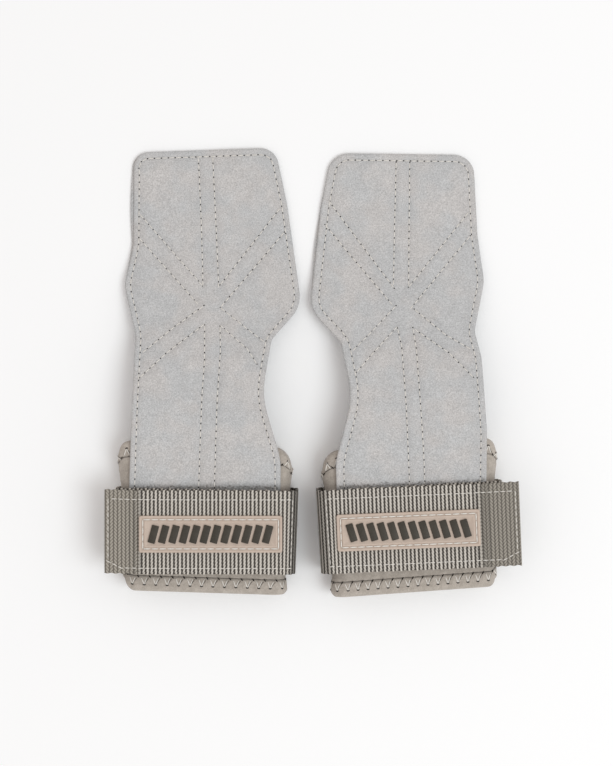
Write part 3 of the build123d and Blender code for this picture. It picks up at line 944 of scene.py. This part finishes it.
def hem_stitches(grip):
    """Zigzag stitching over each hem, with a seam line above and a needle hole at each point."""
    pale, dark, ticks, holes = [], [], [], []
    count, each = round(CUFF_GIRTH / grip.hem_pitch), 12
    around = cuff_around(count * each)
    for end, inward in ((grip.arm_end, 1), (grip.finger_end, -1)):
        point_y, seam_y = end + inward * 4.2, end + inward * (HEM + 0.2)
        for k in range(0, count * each, each):
            def at(offset, y, inset=-0.3):
                return Vector(cuff_point(grip, y, inset, *around[(k + offset) % len(around)]))

            facing = around[k][1]
            up = Vector((math.cos(facing), 0, math.sin(facing)))
            tip, high_y = at(0, point_y), seam_y - inward * 0.9
            for offset in (-3, 3):
                pale.append(((tip + at(offset, high_y)) / 2, at(offset, high_y) - tip, up))
            # a dark grey diagonal from each point up to the seam: a grey under-thread, partly
            # standing for the painted shadow of the crease it pulls
            half_way = 6 if grip.mirrored else -6
            tick = at(half_way, seam_y - inward * 0.4)
            dark.append(((tip + tick) / 2, tick - tip, up))
            ticks.append((tick, at(half_way + 1, seam_y + inward * 0.8)
                          - at(half_way - 1, seam_y - inward * 0.8), up))
            dark.append((at(6, seam_y, -0.1), at(8, seam_y) - at(4, seam_y), up))
            dark.append((at(0, seam_y, -0.1), at(2, seam_y) - at(-2, seam_y), up))
            holes.append((at(0, point_y, -0.2), at(1, point_y) - at(-1, point_y), up))
    for part, places, size, material in (
            ("hem_stitches", pale, (5.0, 0.75, 0.6), THREAD),
            ("hem_grey_threads_and_crease_shade", dark, (4.6, 0.5, 0.4), GREY_THREAD_AND_SHADE),
            ("hem_seam_ticks", ticks, (2.2, 0.9, 0.5), HOLE),
            ("hem_needle_holes", holes, (1.9, 1.3, 0.5), HOLE)):
        piece = finish_piece(grip, beads(places, *size), part, material)
        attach(piece, grip.name("cuff"))


for grip in GRIPS:
    cuff(grip)
    hem_stitches(grip)
    flap(grip)
    strap_edge_fibres(grip)
    strap(grip)
    strap_stitches(grip)
    closures(grip)
    label(grip)
    core = frame["nodes"][grip.name("flap_core")]
    core.data.materials.clear()
    core.data.materials.append(BACKING)


# ---- floor, light and camera -------------------------------------------------------------
def floor():
    bm = bmesh.new()
    bmesh.ops.create_grid(bm, x_segments=1, y_segments=1, size=3.0)
    mesh = bpy.data.meshes.new("floor")
    bm.to_mesh(mesh)
    bm.free()
    made = bpy.data.objects.new("floor", mesh)
    bpy.context.scene.collection.objects.link(made)
    material, tree = new_material("studio_paper_matt")
    seen = add_node(tree, "LightPath").outputs["Is Camera Ray"]
    colour = add_node(tree, "MixRGB", {"Fac": seen, "Color1": (0.9, 0.9, 0.9, 1),
                                       "Color2": (1.0, 1.0, 1.0, 1)})
    shader = add_node(tree, "BsdfDiffuse", {"Color": colour.outputs[0]})
    add_node(tree, "OutputMaterial", {"Surface": shader.outputs[0]})
    mesh.materials.append(material)


def lamp(name, power, size, aim, distance, colour):
    data = bpy.data.lights.new(name, "AREA")
    data.energy, data.size, data.color = power, size, colour
    made = bpy.data.objects.new(name, data)
    made.location = Vector(aim).normalized() * distance
    made.rotation_euler = Vector(aim).to_track_quat("Z", "Y").to_euler()
    bpy.context.scene.collection.objects.link(made)


def studio():
    floor()
    lamp("key", 38.0, 1.8, (0.62, -0.3, 1.0), 3.2, (0.9, 0.97, 1.0))
    world = bpy.data.worlds.new("studio")
    world.use_nodes = True
    world.node_tree.nodes["Background"].inputs["Color"].default_value = (1.0, 0.965, 0.95, 1)
    world.node_tree.nodes["Background"].inputs["Strength"].default_value = 0.72
    bpy.context.scene.world = world


def camera():
    data = bpy.data.cameras.new("camera")
    data.sensor_fit = "VERTICAL"
    data.sensor_height = 36.0
    data.lens = 72.6
    made = bpy.data.objects.new("camera", data)
    made.location = (-0.00407, -0.00745, 0.95)
    bpy.context.scene.collection.objects.link(made)
    bpy.context.scene.camera = made


studio()
camera()
bpy.context.scene.view_settings.view_transform = "Standard"
